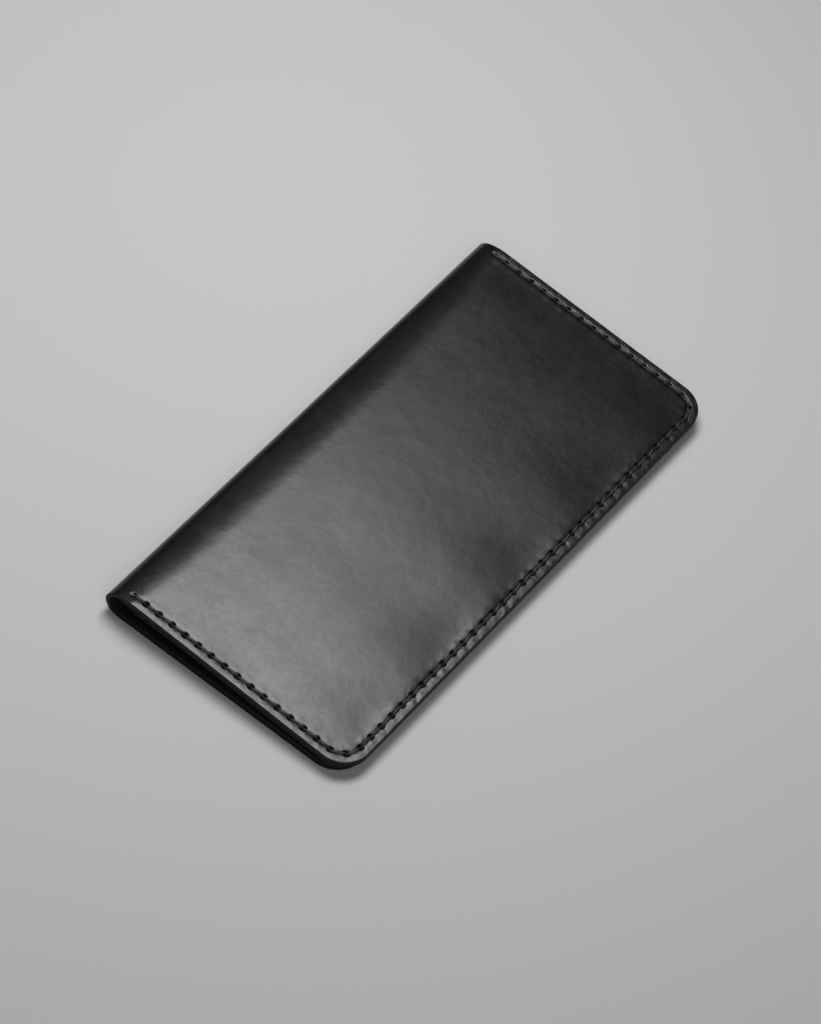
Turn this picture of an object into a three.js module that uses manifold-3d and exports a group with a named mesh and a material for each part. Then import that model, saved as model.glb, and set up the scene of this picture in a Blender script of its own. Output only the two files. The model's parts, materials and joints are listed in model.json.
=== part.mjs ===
// Travel wallet: a long folded wallet of black leather, saddle stitched by hand on three sides.
// Millimetres, +Z up. The wallet lies closed on its back cover: its fold is on the -X side, its
// long side runs along Y, and the origin is the middle of its footprint.

import * as THREE from 'three';
import { mergeGeometries, mergeVertices } from 'three/addons/utils/BufferGeometryUtils.js';
import Module from 'manifold-3d';

const wasm = await Module();
wasm.setup();

// Outline of the closed wallet
const walletLength = 190;
const walletWidth = 94;
const cornerRadius = 10;
const frontOverhang = 1.8;

// Leather and the spaces between its layers
const coverThickness = 1.6;
const panelThickness = 1.0;
const slotThickness = 0.5;
const layerGap = 0.15;
const faceClearance = 0.28;

// Fold: between the two halves the cover bends in round bands
const foldBandCount = 2;
const foldBandGap = 0.3;

// Saddle stitch along the two short sides and the free long side
const seamMargin = 3.5;
const stitchPitch = 5.13;
const threadWidth = 0.62;
const threadRecess = 0.05;
const threadClearance = 0.1;
const strandClearance = 0.24;
const stitchShift = 0.1;
const innerGrooveFloor = 0.5;
const mouthMargin = 1.6;

// Passport pocket: a shallow curve in its mouth for the thumb
const thumbCurveWidth = 34;
const thumbCurveDepth = 7;

// Card slots on the note pocket, and the ticket pocket beside them
const cardSlotCount = 3;
const cardSlotWidth = 96;
const cardSlotStagger = 9;
const firstMouthSetback = 9;
const slotBottomInset = 14;
const pocketSeamClearance = 1.7;
const pocketSpacing = 4;
const pocketCornerRadius = 4;
const stackClearance = 0.4;
const stepClearance = 0.3;
const stepRamp = 3;

// Running stitch that holds the pockets on the note pocket
const pocketStitchPitch = 6;
const pocketThreadWidth = 0.35;
const pocketSeamInset = 2.5;

// Facets in each round corner, for every curve in this file
const cornerFacets = 4;

// Layers of one half, measured from its outer face inwards
const panelOuter = coverThickness + layerGap;
const halfThickness = panelOuter + panelThickness;
const slotStep = slotThickness + layerGap;

// Main thread: its levels, the slant of its slits and the groove that it lies in
const stitchSpread = threadWidth / 2 + strandClearance;
const slitSlant = Math.atan2(stitchShift, stitchSpread);
const slitHalfLength = Math.hypot(stitchShift, stitchSpread) + threadReach(threadWidth);
const grooveHalfWidth = slitHalfLength * Math.cos(slitSlant)
  + threadReach(threadWidth) * Math.sin(slitSlant) + threadClearance;
const outerThreadLevel = threadRecess + threadWidth / 2;
const outerGrooveDepth = threadRecess + threadWidth + threadClearance;
const innerGrooveLevel = panelOuter + innerGrooveFloor;
const innerThreadLevel = innerGrooveLevel + threadClearance + threadWidth / 2;
const threadProud = innerThreadLevel + threadWidth / 2 - halfThickness;

// Gap between the two pocket panels at the free edge, where the inner threads still clear them
const closedGap = threadProud + faceClearance;

// The halves stand open by the angle that the stacked card slots need
const stackHeight = cardSlotCount * slotStep + stackClearance;
const stackRun = slotBottomInset + (cardSlotCount - 1) * cardSlotStagger - frontOverhang - stepClearance;
const openAngle = Math.atan((stackHeight - closedGap) / stackRun);

// Outer radius of the fold: its loop is tangent to both outer faces
const backWidth = walletWidth - frontOverhang;
const foldRadius = (backWidth * Math.sin(openAngle) + (halfThickness + closedGap) * Math.cos(openAngle)
  + halfThickness) / (1 + Math.cos(openAngle) + Math.sin(openAngle));
const foldInnerRadius = foldRadius - coverThickness;
const foldCentreX = foldRadius - walletWidth / 2;
const foldTurn = (Math.PI + openAngle) / (foldBandCount + 1);

// Angle from the middle of a band, or from the line where a half leaves the loop, to its end
const foldArcEnd = foldTurn / 2 - foldBandGap / 2 / foldInnerRadius;

// Depth of each half, from the line where its outer face leaves the fold to its free edge
const backDepth = backWidth - foldRadius;
const frontDepth = (walletWidth - foldRadius - foldRadius * Math.sin(openAngle)) / Math.cos(openAngle);

// How far a cutter stands past the leather that it goes through
const through = 1;

const leather = { color: 0x1c1c1c, roughness: 0.38, metalness: 0 };
const pocketLeather = { color: 0x191919, roughness: 0.5, metalness: 0 };
const waxedThread = { color: 0x0d0d0d, roughness: 0.6, metalness: 0 };

// Solids: the closed mesh of a geometry, and back

function solidOf(geometry) {
  const bare = geometry.clone();
  bare.deleteAttribute('normal');
  bare.deleteAttribute('uv');
  const merged = mergeVertices(bare, 1e-4);
  return new wasm.Manifold(new wasm.Mesh({
    numProp: 3,
    vertProperties: new Float32Array(merged.attributes.position.array),
    triVerts: new Uint32Array(merged.index.array),
  }));
}

function geometryOf(solid) {
  const mesh = solid.getMesh();
  const geometry = new THREE.BufferGeometry();
  geometry.setAttribute('position', new THREE.BufferAttribute(new Float32Array(mesh.vertProperties), 3));
  geometry.setIndex(new THREE.BufferAttribute(new Uint32Array(mesh.triVerts), 1));
  return geometry;
}

function cut(geometry, ...cutters) {
  return geometryOf(cutters.reduce((solid, cutter) => solid.subtract(solidOf(cutter)), solidOf(geometry)));
}

function join(geometry, other) {
  return geometryOf(solidOf(geometry).add(solidOf(other)));
}

// A sheet of leather between two heights, from its outline
function sheet(shape, bottom, top) {
  const geometry = new THREE.ExtrudeGeometry(shape, {
    depth: top - bottom,
    bevelEnabled: false,
    curveSegments: cornerFacets * 2,
  });
  return geometry.translate(0, 0, bottom);
}

// A strip whose profile in X and Z runs along Y
function strip(profile, yStart, yEnd) {
  const shape = new THREE.Shape(profile.map(([x, z]) => new THREE.Vector2(x, z)));
  const geometry = new THREE.ExtrudeGeometry(shape, { depth: yEnd - yStart, bevelEnabled: false });
  return geometry.rotateX(Math.PI / 2).translate(0, yEnd, 0);
}

// Halves are drawn flat, outer face down. Their free edge lies at +X on the back half and at -X on
// the front half, which then folds over onto the back half.

// The U of a seam or an edge: two short sides and the free long side, at a distance from the edge
function edgeCurve(side, depth, start, inset) {
  const end = walletLength / 2;
  const radius = cornerRadius - inset;
  const arcX = side * (depth - cornerRadius);
  const arcY = end - cornerRadius;
  const path = new THREE.Path();
  path.moveTo(side * start, inset - end);
  path.lineTo(arcX, inset - end);
  path.absarc(arcX, -arcY, radius, -Math.PI / 2, side > 0 ? 0 : -Math.PI, side < 0);
  path.lineTo(side * (depth - inset), arcY);
  path.absarc(arcX, arcY, radius, side > 0 ? 0 : Math.PI, Math.PI / 2, side < 0);
  path.lineTo(side * start, end - inset);
  return path;
}

// Holes of the main seam, evenly spaced along its U
function seamHoles(side, depth) {
  const curve = edgeCurve(side, depth, mouthMargin, seamMargin);
  return spacedHoles(curve, stitchPitch);
}

function spacedHoles(curve, pitch) {
  const count = Math.round(curve.getLength() / pitch);
  return Array.from({ length: count + 1 }, (_, index) => ({
    place: curve.getPointAt(index / count),
    along: curve.getTangentAt(index / count),
  }));
}

// Where the two strands pass through a hole: one on each side of its middle, on the slant of its slit
function strandOffset({ along }, shift, spread) {
  const across = new THREE.Vector2(-along.y, along.x);
  return along.clone().multiplyScalar(shift).addScaledVector(across, spread);
}

// Slits through every layer of a seam
function slits(holes, width, shift, spread, bottom, top) {
  const reach = threadReach(width);
  return mergeGeometries(holes.map((hole) => {
    const offset = strandOffset(hole, shift, spread);
    const lengthwise = offset.length() > 0 ? offset.clone().normalize() : hole.along.clone();
    const half = lengthwise.clone().multiplyScalar(offset.length() + reach);
    const across = new THREE.Vector2(-lengthwise.y, lengthwise.x).multiplyScalar(reach);
    const corners = [[1, 1], [-1, 1], [-1, -1], [1, -1]].map(([a, b]) =>
      hole.place.clone().addScaledVector(half, a).addScaledVector(across, b));
    return sheet(new THREE.Shape(corners), bottom, top);
  }));
}

function seamSlits(side, depth) {
  const holes = seamHoles(side, depth);
  return slits(holes, threadWidth, stitchShift, stitchSpread, -through, halfThickness + through);
}

// Room that a square thread takes round its middle line when it turns in a hole
function threadReach(width) {
  return (width / 2) * Math.SQRT2 + threadClearance;
}

// A groove of constant width along the main seam, a little wider than its slits
function seamGroove(side, depth, bottom, top) {
  const start = mouthMargin - grooveHalfWidth;
  const outer = edgeCurve(side, depth, start, seamMargin - grooveHalfWidth).getPoints(cornerFacets);
  const inner = edgeCurve(side, depth, start, seamMargin + grooveHalfWidth).getPoints(cornerFacets);
  return sheet(new THREE.Shape([...outer, ...inner.reverse()]), bottom, top);
}

// One strand of thread: it runs over one pitch on the outer side and under the next on the inner
// side, through every hole, with a square section mitred at each turn. phase 0 starts outside.
function strand(holes, phase, width, shift, spread, outerLevel, innerLevel) {
  const half = width / 2;
  const outward = -1;
  const rings = [];
  const ring = (point, level, heading, lean, rise) => {
    const across = new THREE.Vector2(-heading.y, heading.x).multiplyScalar(half);
    const tilt = heading.clone().multiplyScalar(lean * half);
    const height = rise * outward * half;
    rings.push([[1, 1], [-1, 1], [-1, -1], [1, -1]].map(([a, b]) => [
      point.x + a * across.x + b * tilt.x,
      point.y + a * across.y + b * tilt.y,
      level + b * height,
    ]));
  };
  const middle = (outerLevel + innerLevel) / 2;
  const last = holes.length - 2;
  for (let pitch = 0; pitch <= last; pitch += 1) {
    const outside = (pitch + phase) % 2 === 0;
    const sign = outside ? 1 : -1;
    const level = outside ? outerLevel : innerLevel;
    const start = holes[pitch].place.clone()
      .addScaledVector(strandOffset(holes[pitch], shift, spread), sign);
    const end = holes[pitch + 1].place.clone()
      .addScaledVector(strandOffset(holes[pitch + 1], shift, spread), -sign);
    const heading = end.clone().sub(start).normalize();
    if (pitch === 0) {
      ring(start, middle, heading, -sign, 0);
    }
    ring(start, level, heading, -sign, 1);
    ring(end, level, heading, sign, 1);
    if (pitch === last) {
      ring(end, middle, heading, sign, 0);
    }
  }
  return tube(rings);
}

// A closed tube through rings of four corners each
function tube(rings) {
  const corners = rings[0].length;
  const index = [];
  const quad = (a, b, c, d) => index.push(a, b, c, a, c, d);
  for (let row = 0; row < rings.length - 1; row += 1) {
    for (let corner = 0; corner < corners; corner += 1) {
      const next = (corner + 1) % corners;
      const near = row * corners;
      const far = near + corners;
      quad(near + corner, far + corner, far + next, near + next);
    }
  }
  const end = (rings.length - 1) * corners;
  quad(0, 1, 2, 3);
  quad(end + 3, end + 2, end + 1, end);
  const geometry = new THREE.BufferGeometry();
  geometry.setAttribute('position', new THREE.Float32BufferAttribute(rings.flat(2), 3));
  geometry.setIndex(index);
  return geometry;
}

function piece(name, geometry, finish) {
  const mesh = new THREE.Mesh(geometry, new THREE.MeshStandardMaterial(finish));
  mesh.name = name;
  return mesh;
}

// A stretch of the fold between two angles, measured from where its flat would touch the loop
function foldArc(from, to, facets) {
  const arc = (radius) => Array.from({ length: facets + 1 }, (_, step) => {
    const angle = from + (to - from) * (step / facets);
    return [radius * Math.sin(angle), foldRadius - radius * Math.cos(angle)];
  });
  const profile = [...arc(foldRadius), ...arc(foldInnerRadius).reverse()];
  return strip(profile, -walletLength / 2, walletLength / 2);
}

// One half of the cover: a flat sheet whose edge at the fold begins to bend round
function cover(side, depth) {
  const outline = new THREE.Shape(edgeCurve(side, depth, 0, 0).getPoints(cornerFacets));
  const bend = foldArc(0, -side * foldArcEnd, cornerFacets);
  return cut(
    join(sheet(outline, 0, coverThickness), bend),
    seamGroove(side, depth, -through, outerGrooveDepth),
    seamSlits(side, depth),
  );
}

// A pocket panel over the whole half, open towards the fold
function panel(side, depth, mouth, cutters) {
  const edge = edgeCurve(side, depth, 0, 0).getPoints(cornerFacets);
  return cut(
    sheet(new THREE.Shape([...edge, ...mouth]), panelOuter, halfThickness),
    seamGroove(side, depth, innerGrooveLevel, halfThickness + through),
    seamSlits(side, depth),
    ...cutters,
  );
}

// Points of the thumb curve in the mouth of the passport pocket. The curve reaches three quarters
// of the way to its two inner handles.
function thumbCurve() {
  const handle = thumbCurveDepth * 4 / 3;
  const curve = new THREE.CubicBezierCurve(
    new THREE.Vector2(0, thumbCurveWidth / 2),
    new THREE.Vector2(handle, thumbCurveWidth / 4),
    new THREE.Vector2(handle, -thumbCurveWidth / 4),
    new THREE.Vector2(0, -thumbCurveWidth / 2),
  );
  return curve.getPoints(cornerFacets * 3);
}

function seamStrands(name, side, depth) {
  return [0, 1].map((phase) => piece(
    `${name}_seam_strand_${phase + 1}`,
    strand(seamHoles(side, depth), phase, threadWidth, stitchShift, stitchSpread,
      outerThreadLevel, innerThreadLevel),
    waxedThread,
  ));
}

function backHalf() {
  return [
    piece('back_cover', cover(1, backDepth), leather),
    piece('passport_pocket', panel(1, backDepth, thumbCurve(), []), pocketLeather),
    ...seamStrands('back', 1, backDepth),
  ];
}

// One round band of the fold, with the middle of its outer face down
function foldBand(index) {
  return piece(`spine_strip_${index}`, foldArc(-foldArcEnd, foldArcEnd, cornerFacets * 2), leather);
}

// Card slots and ticket pocket: places along the front half, measured from the mouth of the note
// pocket, and across it
const slotBottom = (index) => frontDepth - slotBottomInset - (cardSlotCount - 1 - index) * cardSlotStagger;
const slotMouth = (index) => firstMouthSetback + index * cardSlotStagger;
const slotFloor = halfThickness + layerGap;
const pocketSideInset = seamMargin + grooveHalfWidth + pocketSeamClearance;
const cardSlotStart = pocketSideInset - walletLength / 2;
const cardSlotEnd = cardSlotStart + cardSlotWidth;
const ticketStart = cardSlotEnd + pocketSpacing;
const ticketEnd = walletLength / 2 - pocketSideInset;
const ticketMouth = slotMouth(cardSlotCount - 1);
const pocketBottom = slotBottom(cardSlotCount - 1);

// A card slot lies on the slots below it, and steps down past the lower edge of each of them
function cardSlot(index) {
  const under = [[slotMouth(index), slotFloor + index * slotStep]];
  for (let below = 0; below < index; below += 1) {
    const step = slotBottom(below) + stepClearance;
    const level = slotFloor + (index - below) * slotStep;
    under.push([step, level], [step + stepRamp, level - slotStep]);
  }
  under.push([slotBottom(index), slotFloor]);
  const over = under.map(([x, z]) => [x, z + slotThickness]).reverse();
  const profile = [...under, ...over].map(([x, z]) => [-x, z]);
  return strip(profile, cardSlotStart, cardSlotEnd);
}

// The ticket pocket: a patch with two round corners at its bottom
function ticketPatch() {
  const radius = pocketCornerRadius;
  const shape = new THREE.Shape();
  shape.moveTo(-ticketMouth, ticketStart);
  shape.lineTo(-ticketMouth, ticketEnd);
  shape.lineTo(radius - pocketBottom, ticketEnd);
  shape.absarc(radius - pocketBottom, ticketEnd - radius, radius, Math.PI / 2, Math.PI, false);
  shape.lineTo(-pocketBottom, ticketStart + radius);
  shape.absarc(radius - pocketBottom, ticketStart + radius, radius, Math.PI, Math.PI * 1.5, false);
  return sheet(shape, slotFloor, slotFloor + slotThickness);
}

// Seam of the ticket pocket: down one side, across the bottom and up the other side
function ticketHoles() {
  const path = new THREE.Path();
  const nearMouth = -ticketMouth - pocketSeamInset;
  const bottom = pocketSeamInset - pocketBottom;
  const radius = Math.max(pocketCornerRadius - pocketSeamInset, 0);
  path.moveTo(nearMouth, ticketEnd - pocketSeamInset);
  path.lineTo(bottom + radius, ticketEnd - pocketSeamInset);
  path.absarc(bottom + radius, ticketEnd - pocketSeamInset - radius, radius, Math.PI / 2, Math.PI, false);
  path.lineTo(bottom, ticketStart + pocketSeamInset + radius);
  path.absarc(bottom + radius, ticketStart + pocketSeamInset + radius, radius, Math.PI, Math.PI * 1.5, false);
  path.lineTo(nearMouth, ticketStart + pocketSeamInset);
  return spacedHoles(path, pocketStitchPitch);
}

// Seam of the card slots: along the bottom edge of the last one
function cardHoles() {
  const bottom = pocketSeamInset - pocketBottom;
  const seam = new THREE.LineCurve(
    new THREE.Vector2(bottom, cardSlotStart + pocketSeamInset),
    new THREE.Vector2(bottom, cardSlotEnd - pocketSeamInset),
  );
  return spacedHoles(seam, pocketStitchPitch);
}

function pocketSlits(holes) {
  return slits(holes, pocketThreadWidth, 0, 0, panelOuter - through, slotFloor + through);
}

// Under the note pocket the pocket threads lie in small grooves, one for each hidden stitch
const pocketGrooveDepth = pocketThreadWidth + 2 * threadClearance;
const pocketThreadUnder = panelOuter + threadClearance + pocketThreadWidth / 2;
const pocketThreadOver = slotFloor + slotThickness + threadClearance + pocketThreadWidth / 2;

function hiddenStitchGrooves(holes) {
  const reach = threadReach(pocketThreadWidth);
  const grooves = [];
  for (let pitch = 1; pitch < holes.length - 1; pitch += 2) {
    const start = holes[pitch].place;
    const end = holes[pitch + 1].place;
    const heading = end.clone().sub(start).normalize().multiplyScalar(reach);
    const across = new THREE.Vector2(-heading.y, heading.x);
    const corners = [
      start.clone().sub(heading).sub(across),
      end.clone().add(heading).sub(across),
      end.clone().add(heading).add(across),
      start.clone().sub(heading).add(across),
    ];
    grooves.push(sheet(new THREE.Shape(corners), panelOuter - through, panelOuter + pocketGrooveDepth));
  }
  return mergeGeometries(grooves);
}

function pocketThread(name, holes) {
  const geometry = strand(holes, 1, pocketThreadWidth, 0, 0, pocketThreadUnder, pocketThreadOver);
  return piece(name, geometry, waxedThread);
}

function frontHalf() {
  const ticketSeam = ticketHoles();
  const cardSeam = cardHoles();
  const lastSlot = cardSlotCount - 1;
  const slots = Array.from({ length: cardSlotCount }, (_, index) => {
    const flat = cardSlot(index);
    const geometry = index === lastSlot ? cut(flat, pocketSlits(cardSeam)) : flat;
    return piece(`card_slot_${index + 1}`, geometry, pocketLeather);
  });
  const seams = [ticketSeam, cardSeam];
  const cutters = seams.flatMap((holes) => [pocketSlits(holes), hiddenStitchGrooves(holes)]);
  return [
    piece('front_cover', cover(-1, frontDepth), leather),
    piece('note_pocket', panel(-1, frontDepth, [], cutters), pocketLeather),
    ...seamStrands('front', -1, frontDepth),
    ...slots,
    piece('ticket_pocket', cut(ticketPatch(), pocketSlits(ticketSeam)), pocketLeather),
    pocketThread('card_seam_thread', cardSeam),
    pocketThread('ticket_seam_thread', ticketSeam),
  ];
}

// Each leaf of the wallet is tangent to the fold's loop, one turn further round than the leaf before
function leaf(turns, pieces) {
  const group = new THREE.Group();
  const angle = -Math.PI / 2 - turns * foldTurn;
  group.position.set(
    foldCentreX + foldRadius * Math.cos(angle),
    0,
    foldRadius + foldRadius * Math.sin(angle),
  );
  group.rotation.y = turns * foldTurn;
  group.add(...pieces);
  return group;
}

const wallet = new THREE.Group();
wallet.name = 'travel_wallet';
wallet.add(leaf(0, backHalf()));
for (let index = 1; index <= foldBandCount; index += 1) {
  wallet.add(leaf(index, [foldBand(index)]));
}
wallet.add(leaf(foldBandCount + 1, frontHalf()));

export default wallet;
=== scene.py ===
"""Travel wallet: the looks of a long folded wallet of black leather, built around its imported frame.

The wallet lies closed on its back cover, with its fold on the -X side and its long side along Y.
Every sheet is drawn flat and then laid on its half of the fold. On a drawn sheet a point has three
places: reach, the way from the fold towards the free edge; the way along Y; and lift, the height
above the face that shows. All lengths are in metres.
"""

from __future__ import annotations

import json
import logging
import math
from dataclasses import dataclass
from enum import Enum
from typing import Callable, Sequence

import bmesh
import bpy
from bmesh.types import BMEdge, BMesh, BMFace, BMVert
from bpy.types import Material, Node, NodeSocket, NodeTree, Object
from mathutils import Matrix, Vector, noise

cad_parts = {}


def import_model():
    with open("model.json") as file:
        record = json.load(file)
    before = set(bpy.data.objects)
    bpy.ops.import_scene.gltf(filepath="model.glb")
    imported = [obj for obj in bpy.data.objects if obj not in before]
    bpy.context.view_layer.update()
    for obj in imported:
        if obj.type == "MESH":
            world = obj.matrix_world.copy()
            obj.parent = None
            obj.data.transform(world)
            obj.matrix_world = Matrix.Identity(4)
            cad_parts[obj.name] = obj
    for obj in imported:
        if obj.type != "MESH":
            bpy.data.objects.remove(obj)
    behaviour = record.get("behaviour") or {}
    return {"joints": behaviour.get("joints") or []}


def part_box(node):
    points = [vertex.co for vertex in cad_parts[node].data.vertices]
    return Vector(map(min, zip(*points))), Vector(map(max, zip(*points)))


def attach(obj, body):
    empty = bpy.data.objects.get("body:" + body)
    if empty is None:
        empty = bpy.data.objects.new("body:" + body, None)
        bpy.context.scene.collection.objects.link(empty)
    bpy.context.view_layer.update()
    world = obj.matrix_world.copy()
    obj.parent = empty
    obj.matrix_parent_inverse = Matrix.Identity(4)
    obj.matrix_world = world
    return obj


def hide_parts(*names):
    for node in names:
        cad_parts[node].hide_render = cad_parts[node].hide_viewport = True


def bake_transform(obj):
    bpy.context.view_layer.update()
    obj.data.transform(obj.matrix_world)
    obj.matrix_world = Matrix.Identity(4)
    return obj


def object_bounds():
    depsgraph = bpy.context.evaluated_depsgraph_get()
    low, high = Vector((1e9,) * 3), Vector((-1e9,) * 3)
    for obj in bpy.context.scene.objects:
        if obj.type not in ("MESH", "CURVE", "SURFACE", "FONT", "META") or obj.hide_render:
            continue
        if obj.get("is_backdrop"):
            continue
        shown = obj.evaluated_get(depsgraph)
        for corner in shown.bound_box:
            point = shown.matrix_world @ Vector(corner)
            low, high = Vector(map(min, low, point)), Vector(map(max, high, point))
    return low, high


LOG = logging.getLogger("travel_wallet")
MM = 0.001
MERGE_DISTANCE = 2e-6
SHARP_ANGLE = math.radians(50)

# Steps of a quarter circle, as shares of its radius: how far out each lies, and how far down
QUARTER_ROUND = ((0.38, 0.08), (0.71, 0.29), (0.92, 0.62), (1.0, 1.0))

Colour = tuple[float, float, float]
# Inputs of a node, by name
Inputs = dict[str, "float | Sequence[float] | NodeSocket"]
# Middle line of a thread: points, each with the direction across the seam there
Line = Sequence[tuple[Vector, Vector]]


def bell(distance: float, width: float) -> float:
    """Return a smooth bump of height 1 that falls to about a third at the given width."""
    return math.exp(-((distance / width) ** 2))


def ease(value: float) -> float:
    """Return a smooth step from 0 to 1 while the value goes from 0 to 1."""
    held = min(max(value, 0.0), 1.0)
    return held * held * (3 - 2 * held)


class Face(Enum):
    """Face of a half that a sheet shows; the value is the direction of its lift when drawn."""

    OUTSIDE = -1
    INSIDE = 1


class Skin(Enum):
    """Place of a finish among the material slots of a leather piece."""

    GRAIN = 0
    EDGE = 1
    FLESH = 2


# Finishes


@dataclass(frozen=True)
class Pattern:
    """A noise pattern: the size of its features, the number of its finer layers and their strength."""

    feature: float
    layers: float
    strength: float = 0.5


@dataclass(frozen=True)
class Nodes:
    """The node tree of a material, and what the finishes draw in it."""

    tree: NodeTree

    def feed(self, node: Node, inputs: Inputs) -> Node:
        """Fill named inputs of a node.

        Args:
            node: The node.
            inputs: For each input a number, a colour or the output of another node.

        Returns:
            The same node.
        """
        for name, value in inputs.items():
            if isinstance(value, NodeSocket):
                self.tree.links.new(value, node.inputs[name])
            else:
                node.inputs[name].default_value = value
        return node

    def add(self, kind: str, inputs: Inputs) -> Node:
        """Add a node of that kind, with its inputs filled."""
        return self.feed(self.tree.nodes.new(kind), inputs)

    def shade(self, inputs: Inputs) -> None:
        """Fill inputs of the material's shader."""
        self.feed(self.tree.nodes["Principled BSDF"], inputs)

    def place(self, kind: str) -> NodeSocket:
        """Return the named texture coordinates."""
        return self.tree.nodes.new("ShaderNodeTexCoord").outputs[kind]

    def stretched(self, place: NodeSocket, scale: tuple[float, float, float]) -> NodeSocket:
        """Return coordinates that are scaled along each axis."""
        return self.add("ShaderNodeMapping", {"Vector": place, "Scale": scale}).outputs["Vector"]

    def noise(self, place: NodeSocket, pattern: Pattern) -> NodeSocket:
        """Return the value of a noise pattern at coordinates in metres."""
        inputs = {"Vector": place, "Scale": 1 / pattern.feature, "Detail": pattern.layers,
                  "Roughness": pattern.strength}
        return self.add("ShaderNodeTexNoise", inputs).outputs["Fac"]

    def spread(self, value: NodeSocket, band: tuple[float, float] = (0.3, 0.7), low: float = 0.0,
               high: float = 1.0) -> NodeSocket:
        """Spread a pattern between two numbers.

        Args:
            value: The pattern.
            band: Its values that give the low and the high number.
            low: The low number.
            high: The high number.

        Returns:
            The socket of the number.
        """
        inputs = {"Value": value, "From Min": band[0], "From Max": band[1], "To Min": low, "To Max": high}
        return self.add("ShaderNodeMapRange", inputs).outputs["Result"]

    def tint(self, share: NodeSocket, first: Colour, second: Colour) -> None:
        """Mix two colours by a pattern into the shader's colour.

        Args:
            share: The pattern, from 0 to 1.
            first: Colour at 0.
            second: Colour at 1.
        """
        node = self.tree.nodes.new("ShaderNodeMix")
        node.data_type = "RGBA"
        sockets = {socket.identifier: socket for socket in (*node.inputs, *node.outputs)}
        sockets["A_Color"].default_value = (*first, 1.0)
        sockets["B_Color"].default_value = (*second, 1.0)
        self.tree.links.new(share, sockets["Factor_Float"])
        self.shade({"Base Color": sockets["Result_Color"]})

    def relief(self, *layers: tuple[NodeSocket, float]) -> None:
        """Lay patterns on each other as the shader's relief.

        Args:
            layers: The patterns, the lowest first, each with the height of its relief in metres.
        """
        below: Inputs = {}
        for height, depth in layers:
            inputs = {"Strength": 1.0, "Distance": depth, "Height": height, **below}
            below = {"Normal": self.add("ShaderNodeBump", inputs).outputs["Normal"]}
        self.shade(below)


@dataclass(frozen=True)
class Finish:
    """A procedural material: what all finishes share."""

    name: str
    colour: Colour
    roughness: float
    specular: float = 0.5

    def material(self) -> Material:
        """Make the material.

        Returns:
            The material, with the pattern of its finish.
        """
        material = bpy.data.materials.new(self.name)
        material.use_nodes = True
        nodes = Nodes(material.node_tree)
        nodes.shade({"Base Color": (*self.colour, 1.0), "Roughness": self.roughness,
                     "Specular IOR Level": self.specular})
        self.draw(nodes)
        return material

    def draw(self, nodes: Nodes) -> None:
        """Draw the pattern, which is each finish's own."""
        raise NotImplementedError


@dataclass(frozen=True)
class GrainLeather(Finish):
    """Smooth finished leather: fine pores, soft mottling and a waxed gloss that varies a little."""

    mottle: Colour = (0.006, 0.006, 0.006)
    clouds: Pattern = Pattern(28 * MM, 4.0, 0.62)
    polish: float = 0.026
    wear: Pattern = Pattern(16 * MM, 5.0, 0.95)
    wear_band: tuple[float, float] = (0.4, 0.6)
    creases: Pattern = Pattern(9 * MM, 5.0, 0.6)
    crease_depth: float = 0.12 * MM
    pores: Pattern = Pattern(0.4 * MM, 2.0)
    pore_depth: float = 0.028 * MM

    def draw(self, nodes: Nodes) -> None:
        """Draw the leather on the sheet's unrolled UV map, whose unit is a metre.

        Args:
            nodes: The material's nodes.
        """
        place = nodes.place("UV")
        nodes.tint(nodes.spread(nodes.noise(place, self.clouds)), self.colour, self.mottle)
        wear = nodes.noise(place, self.wear)
        low, high = self.roughness - self.polish, self.roughness + self.polish
        nodes.shade({"Roughness": nodes.spread(wear, self.wear_band, low, high)})
        creases, pores = nodes.noise(place, self.creases), nodes.noise(place, self.pores)
        nodes.relief((creases, self.crease_depth), (pores, self.pore_depth))


@dataclass(frozen=True)
class BurnishedEdge(Finish):
    """Cut edge of leather, waxed and rubbed until its fibres lie along it."""

    specular: float = 0.2
    pale: Colour = (0.007, 0.0069, 0.0067)
    fibres: Pattern = Pattern(0.16 * MM, 3.0, 0.6)
    fibre_depth: float = 0.03 * MM
    drawn: float = 14.0

    def draw(self, nodes: Nodes) -> None:
        """Draw fine lines that run along the edge.

        Args:
            nodes: The material's nodes.
        """
        place = nodes.stretched(nodes.place("Object"), (1 / self.drawn, 1 / self.drawn, 1.0))
        lines = nodes.noise(place, self.fibres)
        nodes.tint(nodes.spread(lines), self.colour, self.pale)
        nodes.relief((lines, self.fibre_depth))


@dataclass(frozen=True)
class FleshSide(Finish):
    """Back of the leather: a short matt nap."""

    specular: float = 0.25
    pale: Colour = (0.022, 0.021, 0.02)
    nap: Pattern = Pattern(0.3 * MM, 4.0, 0.7)
    nap_depth: float = 0.06 * MM

    def draw(self, nodes: Nodes) -> None:
        """Draw the nap on the sheet's unrolled UV map.

        Args:
            nodes: The material's nodes.
        """
        nap = nodes.noise(nodes.place("UV"), self.nap)
        nodes.tint(nodes.spread(nap), self.colour, self.pale)
        nodes.relief((nap, self.nap_depth))


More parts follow.
